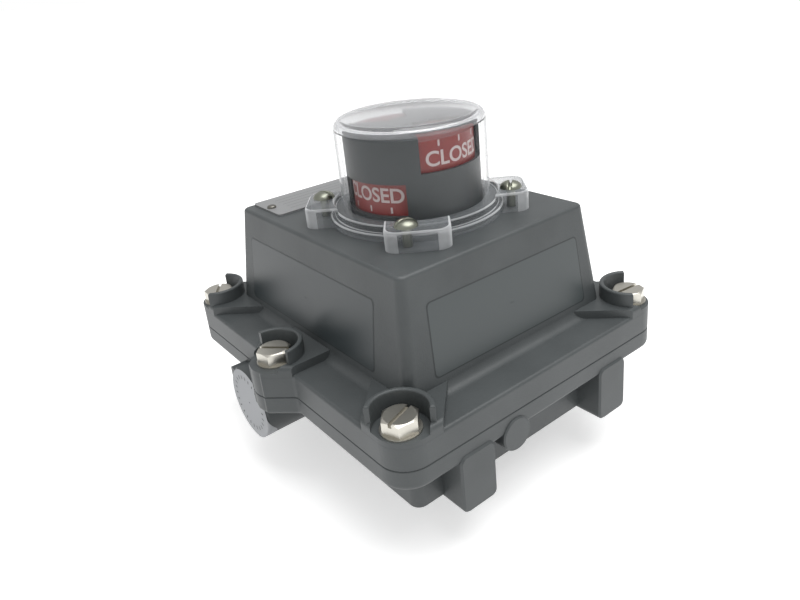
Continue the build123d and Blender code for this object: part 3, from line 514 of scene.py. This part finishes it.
def band(name, heading, upper, material):
    """Coloured quarter of the turning drum; an upper one folds in over the drum's top."""
    middle = math.radians(heading) + DIAL_TURN
    outer, inner = BAND_RADIUS, BAND_RADIUS - BAND_WALL
    split = cover_top + MASK_SPLIT
    if upper:
        top = band_high.z
        profile = [(inner, split + BAND_GAP), (outer, split + BAND_GAP), (outer, top), (BAND_HOLE, top),
                   (BAND_HOLE, top - BAND_WALL), (inner, top - BAND_WALL)]
    else:
        profile = [(inner, band_low.z), (outer, band_low.z),
                   (outer, split - BAND_GAP), (inner, split - BAND_GAP)]
    return hoop(name, profile, material, SHAFT, middle - BAND_SPREAD / 2, middle + BAND_SPREAD / 2, 60)


def bands():
    """Two red and two green quarters above, and the same below a quarter turn on."""
    colours = (("red", -90, band_red, "closed_bands"), ("green", 0, band_green, "open_bands"))
    for tag, upper_at, material, node in colours:
        for half in (0, 180):
            made = band(f"{tag}_band_upper_{half}", upper_at + half, True, material)
            band(f"{tag}_band_lower_{half}", upper_at + 90 + half, False, material)
        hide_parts(node)


indicator_shell()
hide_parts("indicator_mask")
bands()


# ---------------------------------------------------------------- legends on the turning bands
LEGEND_TURN = math.radians(8.1)
LEGEND_STRETCH = 1.035
LEGEND_RADIUS = BAND_RADIUS + 0.05 * MM
LEGEND_SLICE = 0.7 * MM
CAP_SHARE = 0.70                       # height of a capital over the size of the type
STROKE_SHARE = 0.028                   # thickening of the strokes over the height of a capital
CAP_HEIGHT = 6.1 * MM
UPPER_BASE = cover_top + 27.3 * MM
LOWER_BASE = cover_top + 13.1 * MM
TICK = (0.9 * MM, 2.6 * MM)
TICK_STEP = math.radians(22)
TICK_DROP = 0.1 * MM
TICK_SILL = 8.4 * MM


def flat_words(words, cap):
    """Mesh of a word in the plain built-in type, centred in x, standing on y = 0."""
    curve = bpy.data.curves.new(words, "FONT")
    curve.body = words
    curve.align_x = "CENTER"
    curve.size = cap / CAP_SHARE
    curve.offset = cap * STROKE_SHARE
    shape = bpy.data.objects.new(words, curve)
    scene.collection.objects.link(shape)
    mesh = bpy.data.meshes.new_from_object(shape.evaluated_get(bpy.context.evaluated_depsgraph_get()))
    bpy.data.objects.remove(shape)
    return mesh


def sliced(mesh, step):
    """Cuts a flat mesh at even steps in x, so that it can follow a curve."""
    work = bmesh.new()
    work.from_mesh(mesh)
    xs = [v.co.x for v in work.verts]
    for x in np.arange(min(xs) + step, max(xs), step):
        everything = work.verts[:] + work.edges[:] + work.faces[:]
        bmesh.ops.bisect_plane(work, geom=everything, plane_co=(x, 0, 0), plane_no=(1, 0, 0))
    work.to_mesh(mesh)
    work.free()
    return mesh


def wrapped(mesh, heading, base):
    """Rolls a flat mesh round the shaft axis: angle = heading + stretch x / r, height = base + y."""
    flat = np.empty(len(mesh.vertices) * 3)
    mesh.vertices.foreach_get("co", flat)
    flat = flat.reshape(-1, 3)
    angle = heading + LEGEND_STRETCH * flat[:, 0] / LEGEND_RADIUS
    rolled = np.stack([LEGEND_RADIUS * np.cos(angle), LEGEND_RADIUS * np.sin(angle), base + flat[:, 1]], -1)
    mesh.vertices.foreach_set("co", rolled.ravel())
    mesh.update()
    return mesh


def legend(name, words, heading, base):
    """A word rolled onto the turning bands at a heading, standing at a height."""
    mesh = wrapped(sliced(flat_words(words, CAP_HEIGHT), LEGEND_SLICE), heading, base)
    mesh.materials.append(legend_white)
    made = bpy.data.objects.new(name, mesh)
    scene.collection.objects.link(made)
    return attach(made, SHAFT)


def ticks(name, heading, low):
    """Three upright marks beside a legend."""
    angle = heading + np.array([-TICK_STEP, 0, TICK_STEP])
    side = TICK[0] / 2 / LEGEND_RADIUS
    a = angle[:, None] + np.array([-side, side, side, -side])
    z = np.broadcast_to(low + np.array([0, 0, TICK[1], TICK[1]]), a.shape)
    points = np.stack([LEGEND_RADIUS * np.cos(a), LEGEND_RADIUS * np.sin(a), z], -1)
    return piece(name, points, separate_quads(3), legend_white, SHAFT)


def legends():
    """Each word on its two upper and two lower bands, with its tick marks."""
    for words, upper in (("CLOSED", -90), ("OPEN", 0)):
        for half in (0, 180):
            above = math.radians(upper + half) + LEGEND_TURN
            below = math.radians(upper + half + 90) + LEGEND_TURN
            tag = f"{words.lower()}_{half}"
            legend("legend_upper_" + tag, words, above, UPPER_BASE)
            legend("legend_lower_" + tag, words, below, LOWER_BASE)
            ticks("ticks_upper_" + tag, above, band_high.z - TICK[1] - TICK_DROP)
            ticks("ticks_lower_" + tag, below, cover_top + TICK_SILL)


legends()


# ---------------------------------------------------------------- films on the hood
HOOD_DRAFT = math.radians(7.0)
HOUSING_Y = 11.0 * MM                  # middle of the housing
WALL_TOP = {"front": 63.6 * MM, "left": 51.2 * MM}   # from that middle to a wall at the cover's top
FILM_LOW = 48.8 * MM
FILM_HIGH = 79.6 * MM
FILM_ROUND = 2.0 * MM
RIM_LIFT = 0.05 * MM
FACE_LIFT = 0.09 * MM
FACE_INSET = 0.55 * MM
# side, middle, half the width at the top and at the bottom, material of the face
# the left wall's face material is the same film painted darker, as painted shade
FILMS = (("front", 1.2 * MM, 42.8 * MM, 44.2 * MM, film_face),
         ("left", 14.8 * MM, 51.6 * MM, 51.8 * MM, film_face_left))


def on_wall(side, across, z, proud):
    """Point on a leaning hood wall: distance = top distance + (cover top - z) tan(draft), plus a lift."""
    out = WALL_TOP[side] + (cover_top - z) * math.tan(HOOD_DRAFT) + proud / math.cos(HOOD_DRAFT)
    if side == "front":
        return np.stack([across, HOUSING_Y - out, z], -1)
    return np.stack([-out, across, z], -1)


def wall_film(name, side, middle, top_half, low_half, inset, proud, material):
    """Film on a leaning wall: a trapezium with rounded corners, drawn in by an inset and lifted off."""
    low, high = FILM_LOW + inset, FILM_HIGH - inset
    corners = [(middle - low_half + inset, low), (middle + low_half - inset, low),
               (middle + top_half - inset, high), (middle - top_half + inset, high)]
    rings = filled(rounded_outline(corners, FILM_ROUND))
    if side == "left":
        rings = rings[:, ::-1]
    points = on_wall(side, rings[..., 0], rings[..., 1], proud)
    piece(name, points, grid_faces(len(rings), rings.shape[1], True), material, HOUSING)


def films():
    """A darker rim and a lighter face on each of the two walls; the left wall's face is the same film
    painted darker, as painted shade.
    """
    for side, middle, top_half, low_half, face in FILMS:
        wall_film("film_rim_" + side, side, middle, top_half, low_half, 0, RIM_LIFT, film_rim)
        wall_film("film_face_" + side, side, middle, top_half, low_half, FACE_INSET, FACE_LIFT, face)


films()


# ---------------------------------------------------------------- paper seal on the open entry
ENTRY = (29.0 * MM, 17.2 * MM)         # y and z of the entry's axis
ENTRY_FACE = -84.0 * MM                # x of the boss's end
BOSS_RADIUS = 17.0 * MM
SEAL_RADIUS = 16.3 * MM
SEAL_LIFT = 0.12 * MM
SEAL_RINGS = 40
SEAL_SEGMENTS = 96
BUMP_HEIGHT = 6.0 * MM
BUMP_HEADING = math.radians(320)
BUMP_WIDTH = 0.42                      # radians
MARK_COUNT = 24
MARK_LIFT = 0.18 * MM
MARK_HALF = 0.03                       # radians
MARK_REACH = (11.6 * MM, 13.4 * MM)


def seal_points(reach, rings, lift):
    """Disc on the boss end that folds back where its reach passes the rim.

    A point at path length s lies at radius s on the end face up to the boss radius, and past it at
    depth s - radius along the flank.
    """
    angle = np.linspace(0, FULL_TURN, SEAL_SEGMENTS, endpoint=False)
    length = np.linspace(0.02, 1, rings)[:, None] * reach(angle)[None, :]
    radius = np.minimum(length, BOSS_RADIUS + lift)
    x = ENTRY_FACE - lift + np.maximum(length - BOSS_RADIUS, 0)
    return np.stack([x, ENTRY[0] - radius * np.cos(angle), ENTRY[1] + radius * np.sin(angle)], -1)


def seal_reach(angle):
    """Radius of the seal, with one side drawn out over the rim by a smooth bump."""
    away = (angle - BUMP_HEADING + math.pi) % FULL_TURN - math.pi
    return SEAL_RADIUS + BUMP_HEIGHT * np.exp(-(away / BUMP_WIDTH) ** 2)


def entry_seal():
    """Paper disc over the open entry."""
    disc = seal_points(seal_reach, SEAL_RINGS, SEAL_LIFT)
    seal = piece("entry_seal", disc, grid_faces(SEAL_RINGS, SEAL_SEGMENTS, True), paper, HOUSING)
    seal.data.polygons.foreach_set("use_smooth", np.ones(len(seal.data.polygons), bool))


def seal_marks():
    """Plain ring of short marks printed on the seal, each a patch between two radii and two headings."""
    heading = np.linspace(0, FULL_TURN, MARK_COUNT, endpoint=False)
    angle = heading[:, None] + np.array([-MARK_HALF, MARK_HALF, MARK_HALF, -MARK_HALF])
    radius = np.repeat(MARK_REACH, 2)
    x = np.full(angle.shape, ENTRY_FACE - MARK_LIFT)
    stamp = np.stack([x, ENTRY[0] - radius * np.cos(angle), ENTRY[1] + radius * np.sin(angle)], -1)
    piece("entry_seal_marks", stamp, separate_quads(MARK_COUNT), paper_print, HOUSING)


entry_seal()
seal_marks()


# ---------------------------------------------------------------- print on the nameplate
plate_low, plate_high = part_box("nameplate")
LINE_STEPS = np.array([5, 9, 13, 17, 21]) * MM   # from the plate's front edge
LINE_MARGIN = 9 * MM
LINE_THICK = 0.35 * MM
LINE_LIFT = 0.03 * MM


def ruled_lines():
    """Blank fields: thin strips across the plate at even steps."""
    count = len(LINE_STEPS)
    y = plate_low.y + LINE_STEPS
    left = np.full(count, plate_low.x + LINE_MARGIN)
    right = np.full(count, plate_high.x - LINE_MARGIN)
    across = np.stack([left, right, right, left], -1)
    along = np.stack([y, y, y + LINE_THICK, y + LINE_THICK], -1)
    z = np.full((count, 4), plate_high.z + LINE_LIFT)
    piece("plate_lines", np.stack([across, along, z], -1), separate_quads(count), print_grey, HOUSING)


ruled_lines()


# ---------------------------------------------------------------- floor, light, camera
FLOOR_GAP = 0.5 * MM
FLOOR_REACH = 30.0


def floor():
    """Pale floor under the shaft end that clears to white where it is fully lit."""
    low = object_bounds()[0][2] - FLOOR_GAP
    mesh = bpy.data.meshes.new("floor")
    square = np.array([(-1, -1, 0), (1, -1, 0), (1, 1, 0), (-1, 1, 0)]) * FLOOR_REACH + np.array([0, 0, low])
    mesh.from_pydata(square.tolist(), [], [(0, 1, 2, 3)])
    plane = bpy.data.objects.new("floor", mesh)
    scene.collection.objects.link(plane)
    material = finish("floor_white", (0.86, 0.86, 0.86, 1.0), 0.9)
    tree = material.node_tree
    path = tree.nodes.new("ShaderNodeLightPath")
    glow = tree.nodes.new("ShaderNodeEmission")
    both = tree.nodes.new("ShaderNodeAddShader")
    seen = tree.nodes.new("ShaderNodeMath")
    seen.operation = "MAXIMUM"
    also = tree.nodes.new("ShaderNodeMath")
    also.operation = "MAXIMUM"
    scale = tree.nodes.new("ShaderNodeMath")
    scale.operation = "MULTIPLY"
    scale.inputs[1].default_value = 0.5
    tree.links.new(path.outputs["Is Camera Ray"], seen.inputs[0])
    tree.links.new(path.outputs["Is Glossy Ray"], seen.inputs[1])
    tree.links.new(seen.outputs[0], also.inputs[0])
    tree.links.new(path.outputs["Is Transmission Ray"], also.inputs[1])
    tree.links.new(also.outputs[0], scale.inputs[0])
    tree.links.new(scale.outputs[0], glow.inputs["Strength"])
    output = tree.nodes["Material Output"]
    tree.links.new(tree.nodes["Principled BSDF"].outputs[0], both.inputs[0])
    tree.links.new(glow.outputs[0], both.inputs[1])
    tree.links.new(both.outputs[0], output.inputs["Surface"])
    mesh.materials.append(material)
    plane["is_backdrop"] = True


def sky():
    """Even white surroundings, dimmer for the light they give than for what is seen."""
    world = bpy.data.worlds.new("studio")
    world.use_nodes = True
    scene.world = world
    tree = world.node_tree
    back = tree.nodes["Background"]
    back.inputs["Color"].default_value = (1, 1, 1, 1)
    path = tree.nodes.new("ShaderNodeLightPath")
    seen = tree.nodes.new("ShaderNodeMath")
    seen.operation = "MAXIMUM"
    mix = tree.nodes.new("ShaderNodeMapRange")
    mix.inputs["To Min"].default_value = 0.62
    mix.inputs["To Max"].default_value = 1.0
    tree.links.new(path.outputs["Is Camera Ray"], seen.inputs[0])
    tree.links.new(path.outputs["Is Transmission Ray"], seen.inputs[1])
    tree.links.new(seen.outputs[0], mix.inputs["Value"])
    tree.links.new(mix.outputs[0], back.inputs["Strength"])


def softbox(name, spot, aim, size, power):
    """Square area lamp at a spot, facing an aim point."""
    lamp = bpy.data.lights.new(name, "AREA")
    lamp.shape = "RECTANGLE"
    lamp.size, lamp.size_y = size
    lamp.energy = power
    rig = bpy.data.objects.new(name, lamp)
    rig.location = spot
    rig.rotation_euler = (Vector(aim) - Vector(spot)).to_track_quat("-Z", "Y").to_euler()
    scene.collection.objects.link(rig)
    rig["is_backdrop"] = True


def camera():
    """View from the front left corner, a little above the cover."""
    eye = bpy.data.cameras.new("camera")
    eye.lens = 31.168
    eye.sensor_width = 36.0
    eye.shift_x = -0.0209
    eye.shift_y = -0.0738
    eye.clip_start = 0.01
    rig = bpy.data.objects.new("camera", eye)
    rig.location = (-0.179732, -0.236376, 0.195107)
    rig.rotation_euler = [math.radians(a) for a in (68.303, 5.081, -38.941)]
    scene.collection.objects.link(rig)
    scene.camera = rig


floor()
sky()
softbox("over", (0.12, -0.2, 1.0), (0, 0, 0.06), (0.9, 0.9), 9.5)
softbox("left", (-0.9, -0.2, 0.5), (0, 0, 0.06), (0.7, 0.7), 0.3)
camera()
scene.view_settings.view_transform = "Standard"
